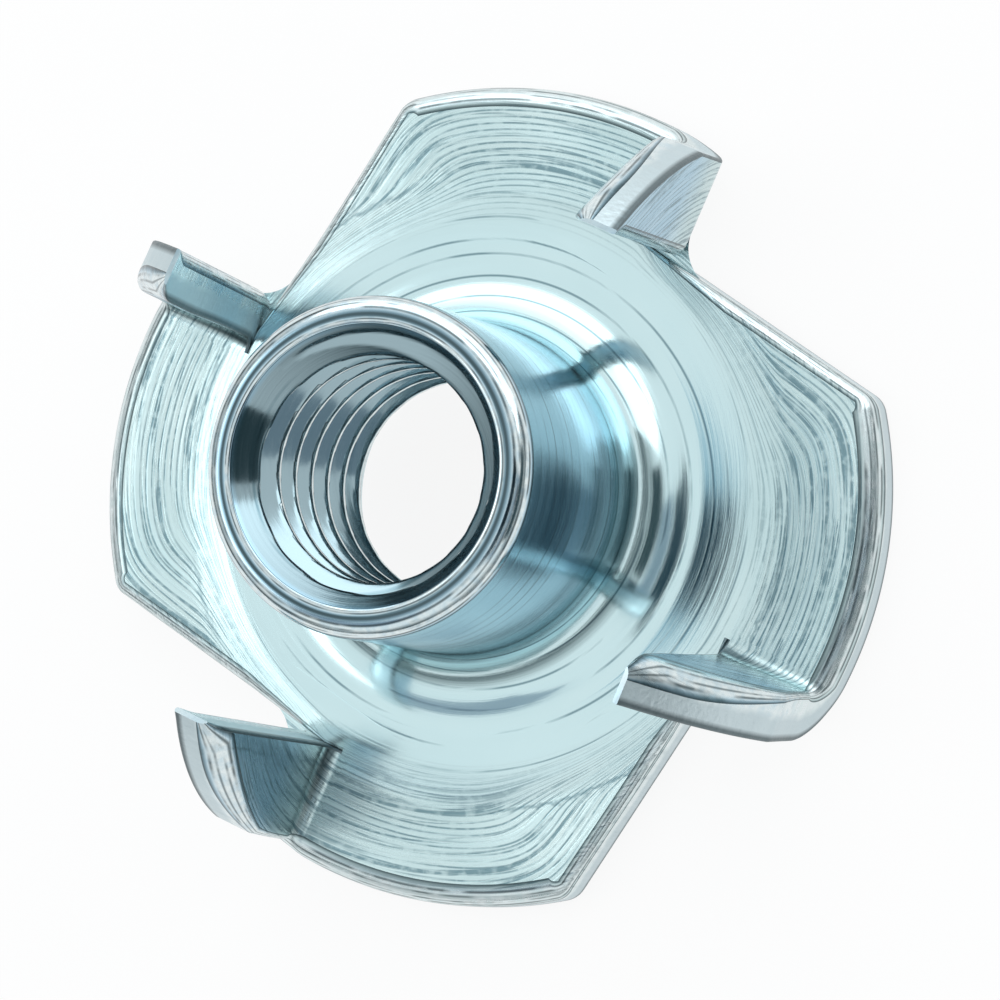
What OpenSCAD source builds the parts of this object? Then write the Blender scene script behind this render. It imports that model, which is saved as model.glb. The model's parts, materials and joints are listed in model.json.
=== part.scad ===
// Four-prong tee nut, drawn and folded from one piece of sheet.
// The flange face lies on z = 0 and the barrel rises along +Z. All sizes are in millimetres.

/* [Flange] */

// Outside diameter of the round flange
flange_diameter = 19; // [17.5:0.1:22]
// Thickness of the sheet that the nut is drawn from
sheet_thickness = 1.2; // [0.9:0.05:1.5]
// Rounding of the rim on the barrel side, left by the blanking die
rim_round = 0.5; // [0.1:0.05:0.7]

/* [Barrel] */

// Height from the flange face to the end of the barrel
overall_height = 9; // [8:0.1:14]
// Outside diameter of the barrel
barrel_diameter = 7.6; // [7.2:0.1:8.2]
// Fillet where the barrel rises from the flange
root_fillet = 1.6; // [0.8:0.1:1.8]
// Rounding of the outer edge at the end of the barrel
lip_round = 0.45; // [0.1:0.05:0.55]

/* [Bore] */

// Diameter of the tapped bore, at the crests of the thread
bore_diameter = 5; // [4.6:0.05:5.3]
// Diameter of the countersink at the end of the barrel
countersink_diameter = 6.2; // [5.8:0.1:6.4]
// Diameter of the drawn funnel where it meets the flange face
funnel_diameter = 8.3; // [7.8:0.1:9]
// Diameter of the funnel's throat, just clear of the thread
throat_diameter = 6.2; // [5.9:0.1:6.6]
// Depth of the throat below the flange face
throat_depth = 1.6; // [1.4:0.1:2.2]

/* [Prongs] */

// Number of prongs, and of the lobes between them
prong_count = 4; // [3:1:4]
// Distance of each straight cut from the axis
cut_offset = 6.9; // [6.5:0.1:7.5]
// Rounding of each lobe's corner, where its cut meets the rim
lobe_corner = 0.6; // [0.3:0.1:1]
// Radius of the web that is left in the corner between each cut and the fold
web_radius = 1; // [0.4:0.1:1.2]
// How far the web's top lies below the seat
web_drop = 0.3; // [0.1:0.05:0.5]
// Angle through which each prong is folded up
fold_angle = 86; // [70:1:90]
// Inside radius of the fold
fold_radius = 0.3; // [0.2:0.05:0.8]
// How far the middle of the fold lies past the foot of the cut
fold_offset = 0.15; // [0:0.05:0.5]
// Angle in plan between each fold and the radius through the foot of the cut
fold_slant = 10; // [0:1:20]
// How far the fold draws the sheet in, on every side
fold_draw = 0.02; // [0.01:0.01:0.1]

/* [Hidden] */

$fn = 120;
eps = 0.2;
fold_lap = 5;

flange_radius = flange_diameter / 2;
barrel_radius = barrel_diameter / 2;
bore_radius = bore_diameter / 2;
countersink_radius = countersink_diameter / 2;
funnel_radius = funnel_diameter / 2;
throat_radius = throat_diameter / 2;
funnel_round = funnel_radius - throat_radius;

// The fold keeps the length of the sheet's middle. Its start and end are measured
// in the flat sheet, from the line through the axis and the foot of the cut. It laps
// into the flat sheet at both ends by the angle fold_lap. Each prong is drawn straight
// and then slanted, and slant_x and slant_y are the flange's axis as it sees it.
fold_length = (fold_radius + sheet_thickness / 2) * fold_angle * PI / 180;
fold_outer = fold_radius + sheet_thickness;
fold_start = fold_length / 2 - fold_offset;
fold_end = -fold_length / 2 - fold_offset;
slant_x = cut_offset * (1 - cos(fold_slant));
slant_y = cut_offset * sin(fold_slant);
start_rim = slant_x + sqrt(pow(flange_radius, 2) - pow(slant_y - fold_start, 2));
end_rim = sqrt(pow(flange_radius, 2) - pow(fold_end, 2));
lobe_reach = flange_radius - lobe_corner + fold_draw;
lobe_side = cut_offset - lobe_corner;
lobe_y = -sqrt(pow(lobe_reach, 2) - pow(lobe_side, 2));

// What is left outside a quarter circle of radius r in its square corner.
module corner(r) {
    difference() {
        square(r + eps);
        circle(r);
    }
}

// Half section of the sheet disc, from the axis to the rim at the radius r.
module sheet_section(r) {
    difference() {
        square([r, sheet_thickness]);
        translate([r - rim_round, sheet_thickness - rim_round]) corner(rim_round);
    }
}

module barrel_section() {
    difference() {
        square([barrel_radius, overall_height]);
        translate([barrel_radius - lip_round, overall_height - lip_round]) corner(lip_round);
    }
    // root fillet into the flange
    translate([barrel_radius + root_fillet, sheet_thickness + root_fillet])
        difference() {
            translate([-root_fillet - eps, -root_fillet - eps]) square(root_fillet + eps);
            circle(root_fillet);
        }
}

// Funnel, throat, tapped bore and countersink, as the half section that is removed.
module bore_section() {
    throat_end = throat_depth + throat_radius - bore_radius;
    sink_start = overall_height - (countersink_radius - bore_radius);
    translate([0, -eps]) square([bore_radius, overall_height + 2 * eps]);
    polygon([[0, -eps], [throat_radius, -eps], [throat_radius, throat_depth],
             [bore_radius, throat_end], [0, throat_end]]);
    polygon([[0, sink_start], [bore_radius, sink_start],
             [countersink_radius, overall_height],
             [countersink_radius, overall_height + eps], [0, overall_height + eps]]);
    translate([funnel_radius, funnel_round]) rotate(180) corner(funnel_round);
}

// Turns a prong in plan about the foot of its cut.
module slanted() {
    translate([cut_offset, 0]) rotate(fold_slant) translate([-cut_offset, 0]) children();
}

// Plan of one notch: what the straight cut frees as far as the fold, and the corner of the
// lobe on the other side of it.
module notch_plan() {
    translate([cut_offset, -flange_radius]) square(flange_radius);
    slanted() translate([cut_offset, -flange_radius])
        square([flange_radius, flange_radius + fold_start]);
    difference() {
        polygon([[lobe_side, lobe_y], [cut_offset + eps, lobe_y],
                 [cut_offset + eps, -flange_radius],
                 [lobe_side, lobe_y] * (flange_radius + eps) / lobe_reach]);
        translate([lobe_side, lobe_y]) circle(lobe_corner);
    }
}

// One prong along +X: the web in the corner, the fold, and the horn that the cut set free,
// all inside the flange's round.
module prong() {
    intersection() {
        slanted() translate([0, fold_start, fold_outer]) {
            web();
            fold_turn() fold_section();
            rotate([-fold_angle, 0, 0]) translate([0, -fold_end, -fold_outer]) horn();
        }
        translate([0, 0, -eps]) cylinder(h = 2 * flange_radius, r = flange_radius - fold_draw);
    }
}

// The web, below the seat.
module web() {
    intersection() {
        fold_turn() web_section();
        translate([0, -flange_radius, -fold_outer])
            cube([flange_radius, 2 * flange_radius, sheet_thickness - web_drop]);
    }
}

// Turns a section about the fold's axis, from inside the flange to inside the horn.
module fold_turn() {
    rotate([0, 90, 0]) rotate([0, 0, -fold_angle - fold_lap])
        rotate_extrude(angle = fold_angle + 2 * fold_lap) children();
}

// Section of the fold: x is the distance from the fold's axis, y runs out along the prong.
module fold_section() {
    inner = fold_radius + fold_draw;
    rim = start_rim - fold_draw;
    difference() {
        translate([inner, cut_offset + fold_draw])
            square([sheet_thickness - 2 * fold_draw, rim - cut_offset - fold_draw]);
        translate([inner + rim_round, rim - rim_round]) mirror([1, 0]) corner(rim_round);
    }
}

// Section of the web: a hollow round between the outside of the fold and the cut, which
// falls back from a slanted prong.
module web_section() {
    reach = fold_outer + web_radius;
    cut_back = (reach - fold_start) * tan(fold_slant);
    inner = fold_outer - sheet_thickness / 2;
    translate([0, cut_offset - cut_back]) difference() {
        translate([inner, -eps]) square([reach - inner, web_radius + eps]);
        translate([reach, web_radius]) circle(web_radius);
    }
}

// The flat horn of sheet between the cut, the rim and the end of the fold.
module horn() {
    intersection() {
        translate([start_rim - end_rim, 0, 0]) rotate_extrude() sheet_section(flange_radius);
        translate([cut_offset, -flange_radius, -eps])
            cube([flange_radius, flange_radius + fold_end, sheet_thickness + 2 * eps]);
    }
}

module tee_nut() {
    color([0.72, 0.77, 0.79]) {
        difference() {
            rotate_extrude() difference() {
                union() {
                    sheet_section(flange_radius);
                    barrel_section();
                }
                bore_section();
            }
            for (i = [0 : prong_count - 1])
                rotate([0, 0, i * 360 / prong_count])
                    translate([0, 0, -eps])
                        linear_extrude(sheet_thickness + 2 * eps) notch_plan();
        }
        for (i = [0 : prong_count - 1])
            rotate([0, 0, i * 360 / prong_count]) prong();
    }
}

tee_nut();
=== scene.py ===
"""A zinc plated tee nut, lying on its flange face on a white floor, seen down its barrel."""
import json
import math

import bpy
import numpy as np
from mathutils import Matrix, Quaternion, Vector
from mathutils.geometry import tessellate_polygon


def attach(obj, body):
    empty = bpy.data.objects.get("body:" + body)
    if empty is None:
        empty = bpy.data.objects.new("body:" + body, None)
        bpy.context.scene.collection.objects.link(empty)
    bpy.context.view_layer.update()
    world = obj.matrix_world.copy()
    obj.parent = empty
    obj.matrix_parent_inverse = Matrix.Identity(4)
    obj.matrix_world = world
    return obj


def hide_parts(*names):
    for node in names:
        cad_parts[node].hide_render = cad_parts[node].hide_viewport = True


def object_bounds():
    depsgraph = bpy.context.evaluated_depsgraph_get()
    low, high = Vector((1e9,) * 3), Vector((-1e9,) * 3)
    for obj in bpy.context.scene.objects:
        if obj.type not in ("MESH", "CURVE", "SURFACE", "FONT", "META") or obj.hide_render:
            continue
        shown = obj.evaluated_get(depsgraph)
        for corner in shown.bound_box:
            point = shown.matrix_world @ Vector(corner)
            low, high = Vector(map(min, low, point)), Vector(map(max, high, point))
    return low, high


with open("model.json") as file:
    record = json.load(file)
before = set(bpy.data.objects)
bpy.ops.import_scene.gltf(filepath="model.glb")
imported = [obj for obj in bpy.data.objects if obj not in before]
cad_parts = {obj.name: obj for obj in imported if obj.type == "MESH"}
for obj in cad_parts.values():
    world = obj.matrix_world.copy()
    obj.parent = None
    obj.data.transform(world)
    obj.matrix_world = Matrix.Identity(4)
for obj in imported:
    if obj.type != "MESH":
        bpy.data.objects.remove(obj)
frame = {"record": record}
cad_low, cad_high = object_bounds()
centre = (cad_low + cad_high) / 2

# ---------------------------------------------------------------- sizes, in millimetres
MM = 0.001
mounts = {mount["name"]: mount for mount in frame["record"]["mounts"]}

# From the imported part.
HEIGHT = cad_high.z / MM
SHEET = mounts["seat"]["pos_m"][2] / MM
BARREL = mounts["barrel"]["dims"]["r_mm"]
CREST = mounts["thread"]["dims"]["r_mm"]

# Radii, roundings and folds, as in part.scad.
FLANGE = 9.5
RIM_ROLL = 0.5
ROOT_FILLET = 1.6
LIP_ROUND = 0.45
COUNTERSINK = 3.1
SINK_ANGLE = 45         # degrees between the countersink and the axis
FUNNEL = 4.15
THROAT = 3.1
THROAT_DEPTH = 1.6
CUT = 6.9
LOBE_CORNER = 0.6
WEB = 1.0
WEB_DROP = 0.3
FOLD_ANGLE = math.radians(86)
FOLD_INNER = 0.3
FOLD_OFFSET = 0.15
FOLD_SLANT = math.radians(10)
FOLD_DRAW = 0.02

# The thread, which only the scene shows.
PITCH = 1.0             # M6 x 1
GROOVE = 0.5            # from the crests out to the root of the thread
FLANK = math.sqrt(3)    # how far a flank goes in for each millimetre along the axis
CREST_WIDTH = 0.13      # half the flat that the thread's crests keep, times FLANK
ON_CREST = 0.01         # a point this near to the crests' radius lies on a crest

# Finish that only the scene shows.
CUT_ROLL = 0.3          # die roll along the straight cuts
CUT_FADE = 2.5          # over this length, by the fold, the cut's roll shrinks to a burr
BURR = 0.07             # the rounding of sheared edges, less at the narrow tips
LIP_SOFT = 0.12         # rounding between the countersink and the lip
TIP_WIDTH = 0.12        # what is left of the prong's width at its tip
BASE_ROLL = 0.15        # what the fold leaves of the rim's roll at the prong's base
TIP_ROLL = 0.6          # the roll at the prong's tip
TIP_RISE = (1.1, 1.8)   # where the roll grows to that, as prong_section's grown
WEB_LIFT = 0.01         # keeps the web's underside clear of the flange face that it laps
DIE_RING = (6.47, 7.23)  # a sloping band that the die pressed round the seat
DIE_DEPTH = 0.07        # at the band's outer side
DIE_BRINK = 0.02        # the width of the rows that keep the band's two sides sharp
WAVE = 0.012            # the waves' mean depth, and how far they go either side of it
WAVES = ((1.3, 0.8, 1.0), (-0.9, 1.7, 2.2))  # each wave's turn with x and y, and its phase
WAVE_RING = 7.5         # the radius at which the waves have their full depth

# Marks that the plating's grain and lines follow.
EDGE_LINE = 0.4         # the edge mark along both sides of a rounded edge
CREASE_START = 0.55     # the share of EDGE_LINE that the inside of the fold has at the rim, which sets the painted shade in the fold
FLOW_RING = 7.6         # the radius at which the seat's grain follows the cut in full
FLOW_TURN = 0.6         # how gently it turns to do so
FLOW_CLEAR = (-0.2, 1.5)  # between these x it comes back round the axis, by the next prong

FOLD_OUTER = FOLD_INNER + SHEET
FOLD_LENGTH = (FOLD_INNER + SHEET / 2) * FOLD_ANGLE
FOLD_START = FOLD_LENGTH / 2 - FOLD_OFFSET
FOLD_END = -FOLD_LENGTH / 2 - FOLD_OFFSET
FOOT = np.array([CUT, 0, 0])     # the foot of the cut, which the prong is slanted about
AXIS_X = CUT * (1 - math.cos(FOLD_SLANT))    # the nut's axis, seen before the slant
AXIS_Y = CUT * math.sin(FOLD_SLANT)
FOLD_RIM = AXIS_X + math.sqrt(FLANGE**2 - (AXIS_Y - FOLD_START) ** 2)  # the rim at the fold
HORN_SHIFT = FOLD_RIM - math.sqrt(FLANGE**2 - FOLD_END**2)   # brings the horn's rim to it

# ---------------------------------------------------------------- rows, rings and marks of the mesh
TURNS = 200             # steps round the barrel
THREAD_ROWS = 160
BURR_ROWS = 4
ROLL_ROWS = 9
CUT_ROLL_ROWS = 7
OUTSIDE_ROWS = 5
INSIDE_ROWS = 9
RIM_COLUMNS = 36        # along a lobe's rim
CORNER_COLUMNS = 12     # round its corner
CUT_COLUMNS = 36        # along its cut
FOOT_COLUMNS = 5        # from the foot of the cut to the next fold
FOLD_COLUMNS = 19
HORN_COLUMNS = 48
WEB_COLUMNS = 13
WEB_ROWS = 12
SEAT_COLUMNS = 23
BARREL_RING = 5.8       # where the turned core meets the flat of the seat
SEAT_RING = 6.2         # where the seat's mesh turns from 200 steps to the lobes' own
FUNNEL_RING = 5.0       # where the core meets the flange face
QUARTER = math.pi / 2
SLOPE_STEP = 0.001      # how far each way the seat's slope is measured
WELD = 5                # points that agree to so many decimals are one
MARKS = ("turn", "edge", "depth")
NOT_SHEARED = -1.0


def in_plan(vectors, angle, pivot=(0, 0, 0)):
    """Turns vectors about an upright axis at the pivot."""
    c, s = math.cos(angle), math.sin(angle)
    return (np.asarray(vectors) - pivot) @ np.array([[c, s, 0], [-s, c, 0], [0, 0, 1]]) + pivot


def smooth(value, start, end):
    """Rises smoothly from 0 at start to 1 at end."""
    share = np.clip((value - start) / (end - start), 0, 1)
    return share * share * (3 - 2 * share)


# ---------------------------------------------------------------- mesh of the nut
class Shell:
    """Patches of the nut's surface, welded where they meet, each with normals of its own.

    turn is the distance across the turned grain. edge is EDGE_LINE along the sides of
    rounded edges, and 1 in their middle, on sheared walls and on the thread's crests. depth
    is the distance from the burr on sheared walls, and NOT_SHEARED elsewhere."""

    def __init__(self):
        self.points, self.normals, self.marks, self.faces = [], [], [], []
        self.count = 0

    def add(self, points, normals, faces, turn=0.0, edge=0.0, depth=NOT_SHEARED):
        points = np.asarray(points, float).reshape(-1, 3)
        normals = np.broadcast_to(np.asarray(normals, float).reshape(-1, 3), points.shape)
        marks = [np.broadcast_to(np.ravel(mark), len(points)) for mark in (turn, edge, depth)]
        self.points.append(points)
        self.normals.append(normals)
        self.marks.append(np.stack(marks, 1))
        self.faces += [[self.count + i for i in face] for face in faces]
        self.count += len(points)

    def grid(self, points, normals, **marks):
        """Quads between the rows and columns of points."""
        rows, columns = points.shape[:2]
        index = np.arange(rows * columns).reshape(rows, columns)
        quads = np.stack([index[:-1, :-1], index[1:, :-1], index[1:, 1:], index[:-1, 1:]], -1)
        marks = {key: np.broadcast_to(value, (rows, columns)) for key, value in marks.items()}
        self.add(points, normals, quads.reshape(-1, 4).tolist(), **marks)

    def flat(self, loops, z, normal):
        """Fills the plane at height z inside the first loop and outside the others."""
        loops = [[Vector((*point[:2], z)) for point in loop] for loop in loops]
        triangles = tessellate_polygon(loops)
        points = np.array([point for loop in loops for point in loop])
        self.add(points, (0, 0, normal), triangles, turn=np.hypot(points[:, 0], points[:, 1]))

    def turned(self, angle):
        """This shell's patches, turned about the axis."""
        other = Shell()
        other.points = [in_plan(points, angle) for points in self.points]
        other.normals = [in_plan(normals, angle) for normals in self.normals]
        other.marks, other.faces, other.count = self.marks, self.faces, self.count
        return other

    def join(self, other):
        self.points += other.points
        self.normals += other.normals
        self.marks += other.marks
        self.faces += [[self.count + i for i in face] for face in other.faces]
        self.count += other.count

    def mesh(self, name):
        """Welds the points, drops faces that have shrunk to a line, and turns the rest outward."""
        points, normals, marks = (np.vstack(part) for part in (self.points, self.normals, self.marks))
        unique, where = np.unique(np.round(points, WELD), axis=0, return_inverse=True)
        where = where.ravel()
        faces, corners = [], []
        for face in self.faces:
            loop = [i for n, i in enumerate(face) if where[i] != where[face[n - 1]]]
            if len({where[i] for i in loop}) < 3:
                continue
            a, b, c = (points[loop[k]] for k in (0, 1, 2))
            if np.cross(b - a, c - a) @ normals[loop].sum(0) < 0:
                loop.reverse()
            faces.append([int(where[i]) for i in loop])
            corners += loop
        mesh = bpy.data.meshes.new(name)
        mesh.from_pydata((unique * MM).tolist(), [], faces)
        mesh.normals_split_custom_set(normals[corners].tolist())
        for column, mark in enumerate(MARKS):
            attribute = mesh.attributes.new(mark, "FLOAT", "CORNER")
            attribute.data.foreach_set("value", marks[corners, column].astype(np.float32))
        mesh.validate()
        return mesh


def arc(centre, radius, start, end, steps, hollow=False):
    """Section rows (r, z, normal r, normal z) on an arc, with angles in degrees."""
    angles = np.radians(np.linspace(start, end, steps + 1))
    out = np.stack([np.cos(angles), np.sin(angles)], 1)
    return np.hstack([np.array(centre) + radius * out, -out if hollow else out])


def line(start, end, normal, steps=1):
    """Section rows on a straight line."""
    share = np.linspace(0, 1, steps + 1)[:, None]
    points = np.array(start) * (1 - share) + np.array(end) * share
    return np.hstack([points, np.broadcast_to(normal, points.shape)])


def revolve(shell, section, **marks):
    """Turns section rows about the axis. turn runs along the section."""
    angle = np.linspace(0, 2 * math.pi, TURNS + 1)
    angle[-1] = 0
    r, z, nr, nz = (section[:, k, None] for k in range(4))
    around = np.stack(np.broadcast_arrays(np.cos(angle), np.sin(angle), 1.0), -1)
    points = np.stack(np.broadcast_arrays(r, r, z), -1) * around
    normals = np.stack(np.broadcast_arrays(nr, nr, nz), -1) * around
    steps = np.hypot(np.diff(section[:, 0]), np.diff(section[:, 1]))
    turn = section[0, 0] + np.concatenate([[0], np.cumsum(steps)])
    shell.grid(points, normals, turn=turn[:, None], **marks)


def rolled(count):
    """The edge mark over the rows of a rounded edge, from side to side."""
    share = np.linspace(0, 1, count)
    return 1 - (1 - EDGE_LINE) * np.abs(2 * share - 1)


# The edge mark over a burr's rows, from its face, and at the far side of the sheared wall.
BURR_EDGE = np.array([0, EDGE_LINE, EDGE_LINE, 1, 1])


def core(shell):
    """Funnel, bore, countersink, lip, barrel and root fillet, between two flat rings."""
    flare = FUNNEL - THROAT
    root = BARREL + ROOT_FILLET
    revolve(shell, np.vstack([
        line((FUNNEL_RING, 0), (FUNNEL, 0), (0, -1)),
        arc((FUNNEL, flare), flare, 270, 180, steps=14),
        line((THROAT, flare), (THROAT, THROAT_DEPTH), (-1, 0), steps=2),
    ]))
    thread(shell)
    soft = COUNTERSINK + LIP_SOFT
    inner_lip = np.vstack([
        arc((soft, HEIGHT - LIP_SOFT), LIP_SOFT, 180 - SINK_ANGLE, 90, steps=4),
        line((soft, HEIGHT), (BARREL - LIP_ROUND, HEIGHT), (0, 1), steps=2),
    ])
    outer_lip = arc((BARREL - LIP_ROUND, HEIGHT - LIP_ROUND), LIP_ROUND, 90, 0, steps=10)
    for lip in (inner_lip, outer_lip):
        revolve(shell, lip, edge=rolled(len(lip))[:, None])
    revolve(shell, np.vstack([
        line((BARREL, HEIGHT - LIP_ROUND), (BARREL, SHEET + ROOT_FILLET), (1, 0), steps=8),
        arc((root, SHEET + ROOT_FILLET), ROOT_FILLET, 180, 270, steps=16, hollow=True),
        line((root, SHEET), (BARREL_RING, SHEET), (0, 1)),
    ]))


def thread(shell):
    """The bore from the throat to the countersink, with the helical groove in its wall."""
    top = HEIGHT - LIP_SOFT * (1 - math.sin(math.radians(180 - SINK_ANGLE)))
    mouth = COUNTERSINK + LIP_SOFT * (1 - math.sin(math.radians(SINK_ANGLE)))
    rows = np.linspace(THROAT_DEPTH, top, THREAD_ROWS)
    angle = np.linspace(0, 2 * math.pi, TURNS + 1)
    z, a = np.meshgrid(rows, angle, indexing="ij")
    cone_low = THROAT - (z - THROAT_DEPTH)
    cone_high = mouth - (top - z)
    phase = np.mod(z / PITCH - a / (2 * math.pi), 1)
    flank = (0.5 - np.abs(phase - 0.5)) * PITCH * FLANK
    groove = np.clip(flank - CREST_WIDTH, 0, GROOVE)
    r = np.maximum.reduce([np.full_like(z, CREST), cone_low, cone_high, CREST + groove])
    r[0], r[-1] = THROAT, mouth
    points = np.stack([r * np.cos(a), r * np.sin(a), z], -1)
    points[:, -1] = points[:, 0]
    crest = np.where((groove == 0) & (r < CREST + ON_CREST), 1.0, 0.0)
    shell.grid(points, bore_normals(points), turn=z, edge=crest)


def bore_normals(points):
    """Normals towards the axis of a grid that closes on itself round the bore."""
    down, around = np.gradient(points, axis=0), np.gradient(points, axis=1)
    around[:, 0] = around[:, -1] = points[:, 1] - points[:, -2]
    normals = np.cross(down, around)
    normals /= np.linalg.norm(normals, axis=-1, keepdims=True)
    outward = np.sign((normals[..., :2] * points[..., :2]).sum(-1, keepdims=True))
    return normals * -outward


def seat_relief(at):
    """How far the die's ring and the faint waves bring the seat down, as a height."""
    x, y = at[..., 0], at[..., 1]
    radius = np.hypot(x, y)
    ring = np.clip((radius - DIE_RING[0]) / (DIE_RING[1] - DIE_RING[0]), 0, 1)
    ring = ring * (1 - smooth(radius, DIE_RING[1], FLANGE - RIM_ROLL))
    waves = sum(np.sin(with_x * x + with_y * y + phase) for with_x, with_y, phase in WAVES)
    return -DIE_DEPTH * ring - WAVE * smooth(radius, SEAT_RING, WAVE_RING) * (1 + waves / 2)


def pressed(points, normals, quarter):
    """Lowers the barrel side of the flat sheet by the seat's relief, and leans its normals.

    The points are those of the first quarter, turned to their own quarter to look it up."""
    spin = quarter * QUARTER
    place = in_plan(points, spin)
    share = np.clip(points[..., 2] / SHEET, 0, 1) ** 2
    out = points.copy()
    out[..., 2] += share * seat_relief(place)
    lean = np.zeros_like(place)
    for axis in (0, 1):
        aside = np.eye(3)[axis] * SLOPE_STEP
        rise = seat_relief(place + aside) - seat_relief(place - aside)
        lean[..., axis] = rise / (2 * SLOPE_STEP)
    up = np.clip(normals[..., 2], 0, 1) * share
    aim = normals - in_plan(lean, -spin) * up[..., None]
    return out, aim / np.maximum(np.linalg.norm(aim, axis=-1, keepdims=True), 1e-9)


def lobe_outline():
    """Rim, corner and straight cut of one lobe, from its fold to the next prong's fold.

    Rows are x, y, the angle along which the roll's rows lie, the angle that the wall faces,
    and the roll there."""
    reach, side = FLANGE - LOBE_CORNER, CUT - LOBE_CORNER
    centre_x = math.sqrt(reach**2 - side**2)
    start = in_plan((FOLD_RIM, FOLD_START, 0), FOLD_SLANT, FOOT)
    end = in_plan(in_plan((CUT, FOLD_START, 0), FOLD_SLANT, FOOT), QUARTER)
    first, last = math.atan2(start[1], start[0]), math.atan2(side, centre_x)
    rows = []
    for share in np.linspace(0, 1, RIM_COLUMNS):
        angle = first + (last - first) * share
        # over the first fifth, from the fold's own direction to the rim's
        inward = FOLD_SLANT + (angle - FOLD_SLANT) * min(1, share * 5)
        rows.append((FLANGE * math.cos(angle), FLANGE * math.sin(angle), inward, angle, RIM_ROLL))
    for share in np.linspace(0, 1, CORNER_COLUMNS)[1:]:
        angle = last + (QUARTER - last) * share
        roll = RIM_ROLL + (CUT_ROLL - RIM_ROLL) * share
        rows.append((centre_x + LOBE_CORNER * math.cos(angle), side + LOBE_CORNER * math.sin(angle),
                     angle, angle, roll))
    for share in np.linspace(0, 1, CUT_COLUMNS)[1:]:
        x = centre_x * (1 - share)
        roll = BURR + (CUT_ROLL - BURR) * min(1, x / CUT_FADE)
        angle = QUARTER + (FOLD_SLANT / 2 if share == 1 else 0)
        rows.append((x, CUT, angle, angle, roll))
    for share in np.linspace(0, 1, FOOT_COLUMNS)[1:]:
        angle = QUARTER + FOLD_SLANT
        rows.append((end[0] * share, CUT + (end[1] - CUT) * share, angle, angle, BURR))
    return rows


def roll_profile(roll):
    """Rows of a sheared, rolled edge: depth from the wall, height, and the normal's share
    outward and up."""
    under = np.radians(np.linspace(90, 0, BURR_ROWS))
    over = np.radians(np.linspace(0, 90, ROLL_ROWS))
    rows = [(BURR * (1 - math.cos(a)), BURR * (1 - math.sin(a)), math.cos(a), -math.sin(a))
            for a in under]
    return rows + [(roll * (1 - math.cos(a)), SHEET - roll * (1 - math.sin(a)),
                    math.cos(a), math.sin(a)) for a in over]


def lobe(shell, quarter):
    """The rolled edge of one lobe. Returns its outlines on the flange face and the seat."""
    points, normals = [], []
    for x, y, inward, outward, roll in lobe_outline():
        back = -np.array([math.cos(inward), math.sin(inward)]) / math.cos(inward - outward)
        out = np.array([math.cos(outward), math.sin(outward)])
        rows = roll_profile(roll)
        points.append([(*(np.array([x, y]) + back * deep), z) for deep, z, _, _ in rows])
        normals.append([(*(out * flat), up) for _, _, flat, up in rows])
    points, normals = np.array(points), np.array(normals)
    depth, turn = points[..., 2], np.hypot(points[..., 0], points[..., 1])
    points, normals = pressed(points, normals, quarter)
    wall, roll = slice(0, BURR_ROWS + 1), slice(BURR_ROWS, None)
    shell.grid(points[:, wall], normals[:, wall], turn=turn[:, wall], depth=depth[:, wall],
               edge=BURR_EDGE)
    shell.grid(points[:, roll], normals[:, roll], turn=turn[:, roll], edge=rolled(ROLL_ROWS))
    return points[:, 0], points[:, -1]


def bend(points, normals):
    """Folds points of the flat blank up about the fold's slanted axis."""
    points = in_plan(points, -FOLD_SLANT, FOOT)
    normals = in_plan(normals, -FOLD_SLANT)
    x, y, z = points[..., 0], points[..., 1], points[..., 2]
    run = np.clip(FOLD_START - y, 0, None)
    angle = np.minimum(run / FOLD_LENGTH, 1) * FOLD_ANGLE
    past = np.clip(run - FOLD_LENGTH, 0, None)
    c, s = np.cos(angle), np.sin(angle)
    out = np.stack([x, FOLD_START - (FOLD_OUTER - z) * s - past * c,
                    FOLD_OUTER - (FOLD_OUTER - z) * c + past * s], -1)
    ny, nz = normals[..., 1], normals[..., 2]
    aim = np.stack([normals[..., 0], ny * c + nz * s, -ny * s + nz * c], -1)
    return in_plan(out, FOLD_SLANT, FOOT), in_plan(aim, FOLD_SLANT)


def prong_rim(y):
    """How far out the rim of the prong's blank lies at y. The flange's circle trims it."""
    share = np.clip((FOLD_START - y) / FOLD_LENGTH, 0, 1)
    past = np.clip(FOLD_END - y, 0, None)
    away = FOLD_START - FOLD_OUTER * np.sin(share * FOLD_ANGLE) - past * math.cos(FOLD_ANGLE)
    trim = FLANGE - FOLD_DRAW * np.minimum(1, 3 * share)    # drawn in over the first third
    trimmed = AXIS_X + np.sqrt(trim**2 - (away - AXIS_Y) ** 2)
    horn = HORN_SHIFT + np.sqrt(FLANGE**2 - np.minimum(y, FOLD_END) ** 2)
    return np.minimum(trimmed, horn)


def prong_rounding(width, grown):
    """The rounding of a section's burrs, of its cut's outer edge and of its rim."""
    burr = min(BURR, width / 4)
    low = min(BURR + (CUT_ROLL - BURR) * min(1, grown), 0.6 * width)
    base = RIM_ROLL + (BASE_ROLL - RIM_ROLL) * min(1, grown)
    return burr, low, base + (TIP_ROLL - BASE_ROLL) * float(smooth(grown, *TIP_RISE))


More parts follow.
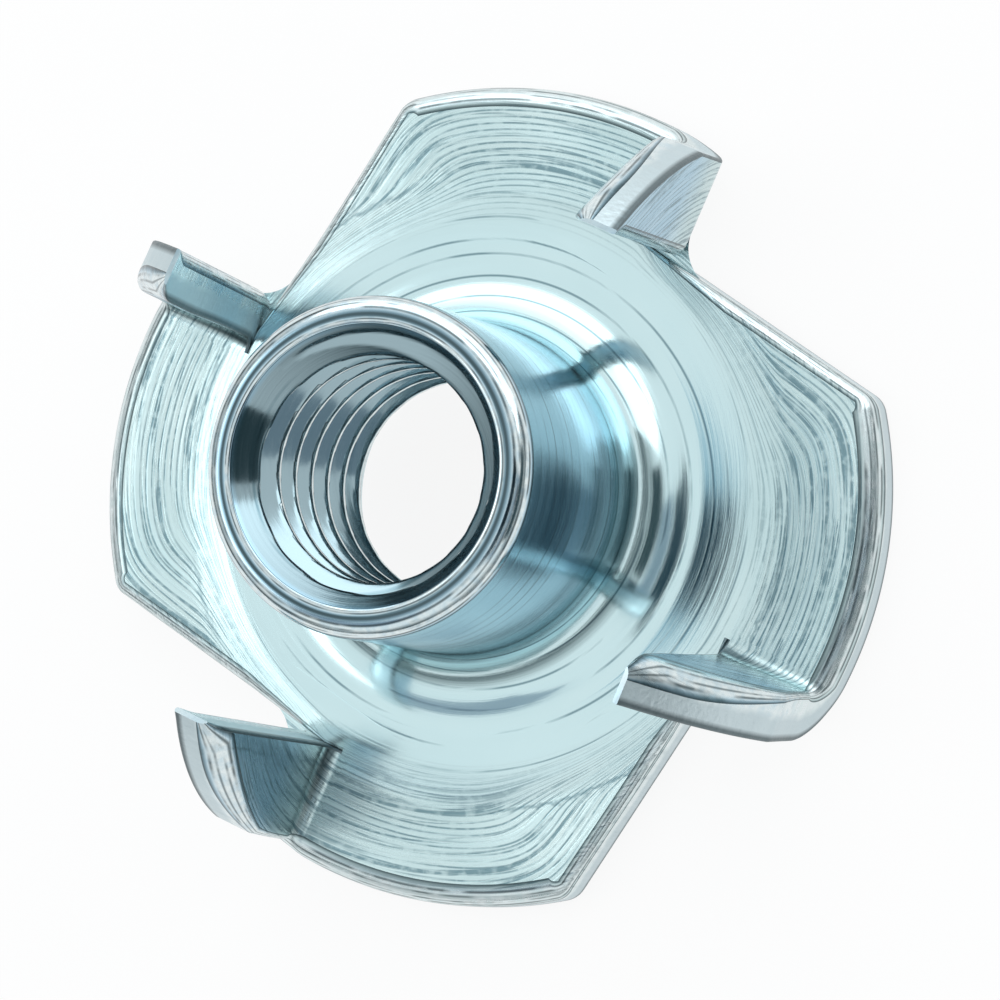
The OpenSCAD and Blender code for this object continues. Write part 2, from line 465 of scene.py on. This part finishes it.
def prong_section(y, rim, slope, grown):
    """One section of the blank across the prong: named runs of (point, normal).

    slope is the rim's slant there. grown rises from 0 at the fold's start to 1 at its end,
    and on to 2 at the tip."""
    width, steep = rim - CUT, math.hypot(1, slope)
    normal_x, normal_y = 1 / steep, -slope / steep
    burr, low, roll = prong_rounding(width, grown)
    # near the tip the roll is wider than the section, and stops where it meets the cut
    most = math.acos(max(0, 1 - (width - burr) * normal_x / roll))
    top = SHEET - roll * (1 - math.sin(most))
    burr_turn = np.radians(np.linspace(90, 0, BURR_ROWS))
    low_turn = np.radians(np.linspace(0, 90, CUT_ROLL_ROWS))

    def rimward(away, up):
        return normal_x * away, normal_y * away, up

    outside = [((x, y, 0), (0, 0, -1)) for x in np.linspace(CUT + low, rim - burr, OUTSIDE_ROWS)]
    wall = [((rim - burr * (1 - math.cos(a)), y, burr * (1 - math.sin(a))),
             rimward(math.cos(a), -math.sin(a))) for a in burr_turn]
    over = [((rim - roll * (1 - math.cos(a)) / normal_x, y, SHEET - roll * (1 - math.sin(a))),
             rimward(math.cos(a), math.sin(a))) for a in np.linspace(0, most, ROLL_ROWS)]
    inside = [((x, y, top), (0, 0, 1))
              for x in np.linspace(max(over[-1][0][0], CUT + burr), CUT + burr, INSIDE_ROWS)]
    upper = [((CUT + burr * (1 - math.cos(a)), y, top - burr * (1 - math.sin(a))),
              (-math.cos(a), 0, math.sin(a))) for a in burr_turn]
    lower = [((CUT + low * (1 - math.cos(a)), y, low * (1 - math.sin(a))),
              (-math.cos(a), 0, -math.sin(a))) for a in low_turn]
    return {"outside": outside, "wall": wall + over[:1], "roll": over, "inside": inside,
            "cut": upper + lower[:1], "cut_roll": lower}


def prong(shell, quarter):
    """Fold and horn: sections of the blank across the cut, from the fold's start to the tip.

    Returns its border with the seat, from the foot of the cut out to the rim."""
    tip = -math.sqrt(FLANGE**2 - (CUT + TIP_WIDTH - HORN_SHIFT) ** 2)
    ys = np.concatenate([np.linspace(FOLD_START, FOLD_END, FOLD_COLUMNS),
                         np.linspace(FOLD_END, tip, HORN_COLUMNS)[1:]])
    rims = prong_rim(ys)
    folded = np.clip((FOLD_START - ys) / FOLD_LENGTH, 0, 1)
    grown = folded + np.clip((FOLD_END - ys) / (FOLD_END - tip), 0, 1)
    sections = [prong_section(*row) for row in zip(ys, rims, np.gradient(rims, ys), grown)]
    # painted shade: an edge mark on the inside of the fold, which the dark edge lines turn into shade
    # in the crease
    crease_shade = EDGE_LINE * np.sin(math.pi * folded)[:, None] * np.linspace(CREASE_START, 1, INSIDE_ROWS)
    edge = {"outside": 0, "wall": BURR_EDGE, "roll": rolled(ROLL_ROWS), "inside": crease_shade,
            "cut": BURR_EDGE, "cut_roll": rolled(CUT_ROLL_ROWS)}
    last = []
    for name in edge:
        rows = np.array([section[name] for section in sections])
        blank = in_plan(rows[:, :, 0], FOLD_SLANT, FOOT)
        depth = {"wall": blank[..., 2], "cut": SHEET - blank[..., 2]}.get(name, NOT_SHEARED)
        turn = np.hypot(blank[..., 0], blank[..., 1])
        points, normals = bend(*pressed(blank, in_plan(rows[:, :, 1], FOLD_SLANT), quarter))
        shell.grid(points, normals, turn=turn, edge=edge[name], depth=depth)
        last += list(points[-1])
        if name == "inside":
            border = points[0, ::-1]
    aim = bend(np.array([[CUT, tip, 0.0]]), np.array([[0, -1.0, 0]]))[1]
    shell.add(last, aim, [list(range(len(last)))], turn=FLANGE, depth=SHEET / 2)
    return border


def web(shell):
    """The hollow round between the cut and the outside of the fold."""
    back = (FOLD_OUTER + WEB - FOLD_START) * math.tan(FOLD_SLANT)
    share = np.radians(np.linspace(0, 90, WEB_COLUMNS))
    x = CUT - back + WEB * (1 - np.cos(share))
    reach = FOLD_OUTER + WEB * (1 - np.sin(share))
    low = np.arccos(np.minimum(1, (FOLD_OUTER - WEB_LIFT) / reach))
    high = np.arccos((FOLD_OUTER - SHEET + WEB_DROP) / reach)
    part = np.linspace(0, 1, WEB_ROWS)[:, None]
    angle = low * (1 - part) + high * part
    points = np.stack(np.broadcast_arrays(x, FOLD_START - reach * np.sin(angle),
                                          FOLD_OUTER - reach * np.cos(angle)), -1)
    normals = np.stack(np.broadcast_arrays(np.cos(share), -np.sin(share) * np.sin(angle),
                                           -np.sin(share) * np.cos(angle)), -1)
    points = in_plan(points, FOLD_SLANT, FOOT)
    shell.grid(points, in_plan(normals, FOLD_SLANT), turn=CUT, depth=points[..., 2])
    corner = in_plan((CUT - back, FOLD_START - FOLD_INNER, 0), FOLD_SLANT, FOOT)
    shell.flat([np.vstack([points[-1], corner])], SHEET - WEB_DROP, 1)
    shell.flat([np.vstack([points[0], corner])], WEB_LIFT, -1)


def flow(points):
    """The turn mark of a lobe's seat: streaks run round the axis, and along the cut near it."""
    x, y = points[..., 0], points[..., 1]
    radius = np.hypot(x, y)
    beside = FLANGE - CUT + y
    larger = (radius + beside + np.hypot(radius - beside, FLOW_TURN)) / 2
    turned = (larger - radius) * smooth(radius, SEAT_RING, FLOW_RING)
    return radius + turned * smooth(x, *FLOW_CLEAR)


def seat(shell, outline, quarter):
    """The seat of one lobe, in columns from the seat's ring out to the lobe's outline."""
    reach = np.hypot(outline[:, 0], outline[:, 1])
    sides = np.array(DIE_RING)
    radii = np.concatenate([np.linspace(SEAT_RING, FLANGE, SEAT_COLUMNS), sides, sides + DIE_BRINK])
    radii = np.unique(np.round(radii, 3))
    share = np.minimum(radii[None, :], reach[:, None]) / reach[:, None]
    points = outline[:, None, :] * share[..., None]
    points[..., 2] = SHEET
    up = np.broadcast_to((0.0, 0.0, 1.0), points.shape)
    points, normals = pressed(points, up, quarter)
    shell.grid(points, normals, turn=flow(points))


def tee_nut():
    """The whole nut as one object."""
    shell = Shell()
    core(shell)
    under, rims = [], []
    for quarter in range(4):
        sector = Shell()
        low, high = lobe(sector, quarter)
        prong(sector, quarter)
        web(sector)
        # the seat also borders on the next quarter's prong, so that one is made to be measured
        next_fold = in_plan(prong(Shell(), quarter + 1)[:-1], QUARTER)
        next_start = in_plan(lobe(Shell(), quarter + 1)[1][:1], QUARTER)
        outline = np.vstack([high, next_fold, next_start])
        seat(sector, outline, quarter)
        shell.join(sector.turned(quarter * QUARTER))
        under += list(in_plan(low, quarter * QUARTER))
        rims += list(in_plan(outline[:-1], quarter * QUARTER))
    rims = np.array(rims)[:, :2]
    angle = np.linspace(0, 2 * math.pi, TURNS + 1)[:-1]
    ring = np.stack([np.cos(angle), np.sin(angle)], 1)
    shell.flat([np.array(under), ring * FUNNEL_RING], 0, -1)
    seat_ring = rims / np.linalg.norm(rims, axis=1, keepdims=True) * SEAT_RING
    shell.flat([seat_ring, ring * BARREL_RING], SHEET, 1)
    made = bpy.data.objects.new("tee_nut_plated", shell.mesh("tee_nut_plated"))
    bpy.context.scene.collection.objects.link(made)
    return made


# ---------------------------------------------------------------- materials
# Colours of the plating, from the bare seat up to what lies over everything else.
SEAT_LOW = (0.50, 0.65, 0.66)
SEAT_HIGH = (0.64, 0.77, 0.77)
STREAK = (0.57, 0.74, 0.76)
DRAWN = (0.62, 0.81, 0.84)
BARREL_BLUE = (0.35, 0.55, 0.68)
# painted shade: the grey that darkens the thread inside the bore
BORE_SHADE = (0.33, 0.44, 0.48)
SCORE = (0.10, 0.20, 0.24)
WORN = (0.74, 0.82, 0.83)
# painted dark reflections along rounded edges, and painted shade inside the folds
EDGE_REFLECTION_DARK = (0.05, 0.08, 0.09)
TORN = (0.58, 0.68, 0.71)
# painted shade: the dark line along the burrs of sheared walls
WALL_LINE_SHADE = (0.08, 0.11, 0.12)

DRAWN_ZONE = (7.4, 6.2)     # radii: none of the bright, drawn zone outside, and all of it inside
BARREL_ZONE = (1.8, 3.2)    # heights: none of the barrel's blue below, and all of it above
BRINK_RING = DIE_RING[1] + 0.25    # the dark line outside the die's ring
BUMP = 0.02                 # the bump's depth in millimetres


def new_material(name):
    material = bpy.data.materials.new(name)
    material.use_nodes = True
    tree = material.node_tree
    return material, tree, tree.nodes["Principled BSDF"]


def node(tree, kind, values=(), output=None, **settings):
    """Adds a node, sets its properties and fills or links its inputs.

    Returns the output of that name, or else the first one."""
    made = tree.nodes.new(kind)
    for name, value in settings.items():
        setattr(made, name, value)
    for name, value in dict(values).items():
        if isinstance(value, bpy.types.NodeSocket):
            tree.links.new(value, made.inputs[name])
        else:
            made.inputs[name].default_value = value
    if output:
        return made.outputs[output]
    return next(socket for socket in made.outputs if socket.enabled)


def maths(tree, operation, *values):
    return node(tree, "ShaderNodeMath", dict(enumerate(values)), operation=operation)


def chain(tree, operation, first, *others):
    """One operation on all the values, from left to right."""
    for other in others:
        first = maths(tree, operation, first, other)
    return first


def vectors(tree, operation, *values, output=None):
    return node(tree, "ShaderNodeVectorMath", dict(enumerate(values)), output, operation=operation)


def noise(tree, at, scale=1.0, detail=3.0, roughness=0.5):
    return node(tree, "ShaderNodeTexNoise", {"Vector": at, "Scale": scale, "Detail": detail,
                                             "Roughness": roughness})


def ranged(tree, value, start, end, low=0.0, high=1.0):
    """Maps value from start..end to low..high, clamped."""
    return node(tree, "ShaderNodeMapRange", {"Value": value, "From Min": start, "From Max": end,
                                             "To Min": low, "To Max": high})


def mixed(tree, factor, first, second):
    """Mixes two colours. A colour is a socket or three numbers."""
    first, second = (c if isinstance(c, bpy.types.NodeSocket) else (*c, 1) for c in (first, second))
    return node(tree, "ShaderNodeMix", {0: factor, 6: first, 7: second}, data_type="RGBA")


def between(tree, factor, first, second):
    """Mixes two numbers."""
    return node(tree, "ShaderNodeMix", {0: factor, 2: first, 3: second})


def thin_line(tree, value, at, width):
    """1 where value passes the given one, falling to 0 that far from it."""
    apart = maths(tree, "ABSOLUTE", maths(tree, "SUBTRACT", value, at))
    return ranged(tree, apart, width, 0.2 * width)


class Plating:
    """The plating's layers, each a share from 0 to 1, and the values that they have in common.

    Noise takes its scale in waves to a metre."""

    def __init__(self, tree):
        self.tree = tree
        self.turn, self.edge, self.depth = (
            node(tree, "ShaderNodeAttribute", output="Fac", attribute_name=name) for name in MARKS)
        self.place = node(tree, "ShaderNodeTexCoord", output="Object")
        flat = vectors(tree, "MULTIPLY", self.place, (1 / MM, 1 / MM, 0))
        self.radius = vectors(tree, "LENGTH", flat, output="Value")
        self.drawn = ranged(tree, self.radius, *DRAWN_ZONE)
        self.sheared = ranged(tree, self.depth, NOT_SHEARED / 2, 0.0)
        self.fine = self.grain(across=14.0, along=0.3)
        self.broad = self.grain(across=1.6, along=0.03)
        self.cloud = noise(tree, self.place, scale=260.0)
        self.speckle = noise(tree, self.place, scale=4200.0, detail=2.0)

    def grain(self, across, along):
        """Streaks that follow the turning: so many to a millimetre across, and along."""
        row = node(self.tree, "ShaderNodeCombineXYZ", {"X": self.turn})
        wide = vectors(self.tree, "MULTIPLY", self.place, (along / MM,) * 3)
        at = vectors(self.tree, "MULTIPLY_ADD", row, (across, 0, 0), wide)
        return noise(self.tree, at, detail=4.0, roughness=0.6)

    def scored(self, across, sway, width, often):
        """Fine parallel lines along the grain, so many to a millimetre, that sway and break off."""
        tree = self.tree
        swayed = maths(tree, "MULTIPLY", noise(tree, self.place, scale=140.0, detail=1.0), sway)
        phase = maths(tree, "FRACT", maths(tree, "MULTIPLY_ADD", self.turn, across, swayed))
        fade = ranged(tree, self.grain(0.6 * across, 0.25), 0.5 - often, 0.64 - often)
        return maths(tree, "MULTIPLY", thin_line(tree, phase, 0.5, width), fade)

    def scores(self):
        """Many fine scores on the lobes, and a few rings on the drawn zone."""
        tree = self.tree
        lobes = maths(tree, "SUBTRACT", 1.0, self.drawn)
        scratch = ranged(tree, self.grain(across=8.0, along=0.4), 0.46, 0.37)
        lines = self.scored(across=6.8, sway=4.4, width=0.22, often=0.10)
        broken = ranged(tree, self.speckle, 0.32, 0.52, low=0.45)
        many = chain(tree, "MULTIPLY", lobes, maths(tree, "MAXIMUM", scratch, lines), broken)
        rings = self.scored(across=1.9, sway=0.5, width=0.08, often=0.08)
        return maths(tree, "MAXIMUM", many, maths(tree, "MULTIPLY", self.drawn, rings))

    def brink(self):
        """A ragged, broken line round the seat, outside the die's ring."""
        tree = self.tree
        ragged = maths(tree, "MULTIPLY_ADD", noise(tree, self.place, scale=3200.0), 0.3, self.radius)
        broken = ranged(tree, self.cloud, 0.42, 0.6)
        return maths(tree, "MULTIPLY", thin_line(tree, ragged, BRINK_RING, width=0.06), broken)

    def worn(self):
        """The polish of rounded edges, sheared walls and crests."""
        speckled = ranged(self.tree, self.speckle, 0.35, 0.6, low=0.6)
        return maths(self.tree, "MULTIPLY", ranged(self.tree, self.edge, 0.5, 0.7), speckled)

    def painted_edge_reflections(self):
        """Painted dark reflections: lines along the sides of rounded edges, and two broken ones nearer
        the middle.
        """
        tree = self.tree
        patchy = noise(tree, self.place, scale=900.0)
        side = thin_line(tree, self.edge, EDGE_LINE, width=0.20)
        inner = thin_line(tree, self.edge, 0.68, width=0.08)
        middle = thin_line(tree, self.edge, 0.87, width=0.06)
        inner = maths(tree, "MULTIPLY", inner, ranged(tree, patchy, 0.38, 0.53, high=0.9))
        middle = maths(tree, "MULTIPLY", middle, ranged(tree, patchy, 0.60, 0.45, high=0.8))
        return chain(tree, "MAXIMUM", side, inner, middle)

    def torn(self):
        """The part of a sheared wall by the burr, where the sheet tore."""
        tree = self.tree
        ragged = maths(tree, "MULTIPLY_ADD", noise(tree, self.place, scale=1500.0), 0.35, self.depth)
        return maths(tree, "MULTIPLY", self.sheared, ranged(tree, ragged, 0.90, 0.72))

    def painted_wall_shade(self):
        """Painted shade: a dark line along the burr of a sheared wall."""
        return maths(self.tree, "MULTIPLY", self.sheared, ranged(self.tree, self.depth, 0.22, 0.10))

    def colour(self, scores, torn):
        """The layers' colours, each laid over those before it."""
        tree = self.tree
        height = node(tree, "ShaderNodeSeparateXYZ", {0: self.place}, output="Z")
        wall = ranged(tree, height, *(z * MM for z in BARREL_ZONE))
        # painted shade over the thread, inside the countersink
        bore = ranged(tree, self.radius, COUNTERSINK + 0.05, COUNTERSINK - 0.05)
        tint = mixed(tree, ranged(tree, self.cloud, 0.36, 0.66), SEAT_LOW, SEAT_HIGH)
        for share, strength, colour in (
                (ranged(tree, self.broad, 0.40, 0.60), 0.5, STREAK),
                (self.drawn, 0.7, DRAWN),
                (wall, 0.9, BARREL_BLUE),
                (bore, 1.0, BORE_SHADE),
                (scores, 0.8, SCORE),
                (self.brink(), 0.55, SCORE),
                (self.worn(), 1.0, WORN),
                # painted dark reflections along the rounded edges
                (self.painted_edge_reflections(), 0.92, EDGE_REFLECTION_DARK),
                (torn, 1.0, TORN),
                (self.painted_wall_shade(), 0.85, WALL_LINE_SHADE)):
            tint = mixed(tree, maths(tree, "MULTIPLY", share, strength), tint, colour)
        return tint

    def roughness(self, torn):
        """Glossier on the drawn zone, and roughest where the sheet tore."""
        tree = self.tree
        matt = ranged(tree, self.fine, 0.3, 0.7, low=0.20, high=0.36)
        gloss = ranged(tree, self.fine, 0.3, 0.7, low=0.09, high=0.19)
        return maths(tree, "MULTIPLY_ADD", torn, 0.15, between(tree, self.drawn, matt, gloss))

    def bump(self, scores, torn):
        """Grain, scores, and the crumbled face where the sheet tore."""
        tree = self.tree
        grain = maths(tree, "MULTIPLY_ADD", self.broad, 2.0, self.fine)
        relief = maths(tree, "MULTIPLY_ADD", scores, -0.3, grain)
        crumbs = maths(tree, "MULTIPLY", torn, noise(tree, self.place, scale=6000.0))
        relief = maths(tree, "MULTIPLY_ADD", crumbs, 2.0, relief)
        strength = between(tree, self.drawn, 0.5, 0.12)
        return node(tree, "ShaderNodeBump", {"Height": relief, "Strength": strength,
                                             "Distance": BUMP * MM})


def zinc_plate():
    """Bright zinc over drawn sheet: glossy and blue near the barrel, paler and grained on the lobes,
    polished on the rolled edges, and dull where the sheet was sheared and tore. Painted shade
    darkens the thread, the burrs of sheared walls and the inside of the folds, and painted dark
    reflections line the rounded edges."""
    material, tree, shader = new_material("zinc_plate")
    plating = Plating(tree)
    scores, torn = plating.scores(), plating.torn()
    tree.links.new(plating.colour(scores, torn), shader.inputs["Base Color"])
    tree.links.new(plating.roughness(torn), shader.inputs["Roughness"])
    tree.links.new(plating.bump(scores, torn), shader.inputs["Normal"])
    shader.inputs["Metallic"].default_value = 1.0
    return material


def white_floor():
    """White where the camera, metal or glass looks at it, with the nut's soft shadow kept."""
    material, tree, shader = new_material("white_floor")
    path = tree.nodes.new("ShaderNodeLightPath").outputs
    seen = chain(tree, "MAXIMUM", path["Is Camera Ray"], path["Is Glossy Ray"],
                 path["Is Transmission Ray"])
    share = maths(tree, "MULTIPLY", seen, 0.9)      # the rest of it takes the shadow
    shader.inputs["Base Color"].default_value = (0.9, 0.9, 0.9, 1)
    shader.inputs["Roughness"].default_value = 0.9
    glow = node(tree, "ShaderNodeEmission", {"Color": (1, 1, 1, 1), "Strength": 1.0})
    mix = node(tree, "ShaderNodeMixShader", {0: share, 1: shader.outputs[0], 2: glow})
    tree.links.new(mix, tree.nodes["Material Output"].inputs["Surface"])
    return material


# ---------------------------------------------------------------- stage, lights and camera
# The distances here are in metres, and the angles in degrees.
FLOOR_HALF = 0.6
LAMP_DISTANCE = 0.3
ROOM_LOW = (0.14, 0.17, 0.18)
ROOM_HIGH = (0.94, 0.97, 0.98)


def rectangle(name, x, y, material):
    """A flat object that reaches so far from its middle each way."""
    mesh = bpy.data.meshes.new(name)
    mesh.from_pydata([(-x, -y, 0), (x, -y, 0), (x, y, 0), (-x, y, 0)], [], [(0, 1, 2, 3)])
    mesh.materials.append(material)
    return bpy.data.objects.new(name, mesh)


def floor():
    plane = rectangle("floor", FLOOR_HALF, FLOOR_HALF, white_floor())
    bpy.context.scene.collection.objects.link(plane)


def direction(azimuth, elevation):
    """Unit vector away from the nut. Azimuth runs from +X towards +Y."""
    a, e = math.radians(azimuth), math.radians(elevation)
    return Vector((math.cos(a) * math.cos(e), math.sin(a) * math.cos(e), math.sin(e)))


def faced(thing, azimuth, elevation, distance, roll=0):
    """Puts a lamp, card or camera that way from the nut, facing it."""
    away = direction(azimuth, elevation)
    thing.location = centre + away * distance
    thing.rotation_mode = "QUATERNION"
    thing.rotation_quaternion = away.to_track_quat("Z", "Y") @ Quaternion((0, 0, 1), math.radians(roll))
    bpy.context.scene.collection.objects.link(thing)


def half_width(angle):
    """Half the width of what spans that angle, as the nut sees it from LAMP_DISTANCE."""
    return LAMP_DISTANCE * math.tan(math.radians(angle / 2))


def softbox(name, azimuth, elevation, width, height, colour):
    """A lamp of so many degrees as the nut sees it, and as bright as its colour."""
    lamp = bpy.data.lights.new(name, "AREA")
    lamp.shape = "RECTANGLE"
    lamp.size, lamp.size_y = 2 * half_width(width), 2 * half_width(height)
    lamp.color = [part / max(colour) for part in colour]
    lamp.energy = max(colour) * math.pi * lamp.size * lamp.size_y
    faced(bpy.data.objects.new(name, lamp), azimuth, elevation, LAMP_DISTANCE)


def card(name, azimuth, elevation, width, height, colour):
    """A card of one colour for the metal to mirror, of so many degrees. The camera sees none."""
    material, _, shader = new_material(name)
    shader.inputs["Base Color"].default_value = (0, 0, 0, 1)
    shader.inputs["Roughness"].default_value = 1.0
    shader.inputs["Emission Color"].default_value = (*colour, 1)
    shader.inputs["Emission Strength"].default_value = 1.0
    made = rectangle(name, half_width(width), half_width(height), material)
    made.visible_camera = False
    faced(made, azimuth, elevation, LAMP_DISTANCE)


def studio():
    """A pale room that darkens towards its floor, two softboxes, and cards."""
    world = bpy.data.worlds.new("studio")
    world.use_nodes = True
    tree = world.node_tree
    aim = node(tree, "ShaderNodeTexCoord")
    up = node(tree, "ShaderNodeSeparateXYZ", {0: aim}, output="Z")
    air = mixed(tree, ranged(tree, up, 0.08, 0.45), ROOM_LOW, ROOM_HIGH)
    tree.links.new(air, tree.nodes["Background"].inputs["Color"])
    bpy.context.scene.world = world
    softbox("window", 110, 23, 95, 50, (1.25, 1.30, 1.34))
    softbox("back_light", 208, 50, 34, 20, (1.40, 1.45, 1.48))
    card("camera_side", 13, 69, 29, 20, (0.02, 0.05, 0.07))
    card("camera_low", 12, 48, 34, 18, (0.28, 0.35, 0.41))
    card("dark_side", 25, 27, 42, 20, (0.03, 0.06, 0.07))
    card("grey_side", 268, 54, 30, 18, (0.36, 0.43, 0.50))


def camera(azimuth=21, elevation=70, roll=-77, distance=0.141, lens=225, aside=(1.5, -0.4)):
    """The photograph's view of the nut, with a longer lens, so that the nut fills the frame.

    aside moves the camera right and up, in millimetres, to where the nut's outline is centred."""
    data = bpy.data.cameras.new("camera")
    data.lens, data.sensor_width = lens, 36
    data.clip_start, data.clip_end = 0.01, 10
    viewer = bpy.data.objects.new("camera", data)
    faced(viewer, azimuth, elevation, distance, roll)
    viewer.location += viewer.rotation_quaternion @ Vector((aside[0] * MM, aside[1] * MM, 0))
    bpy.context.scene.camera = viewer


bpy.context.scene.view_settings.view_transform = "Standard"

nut = tee_nut()
nut.data.materials.append(zinc_plate())
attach(nut, "root")
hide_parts("tee_nut")

floor()
studio()
camera()
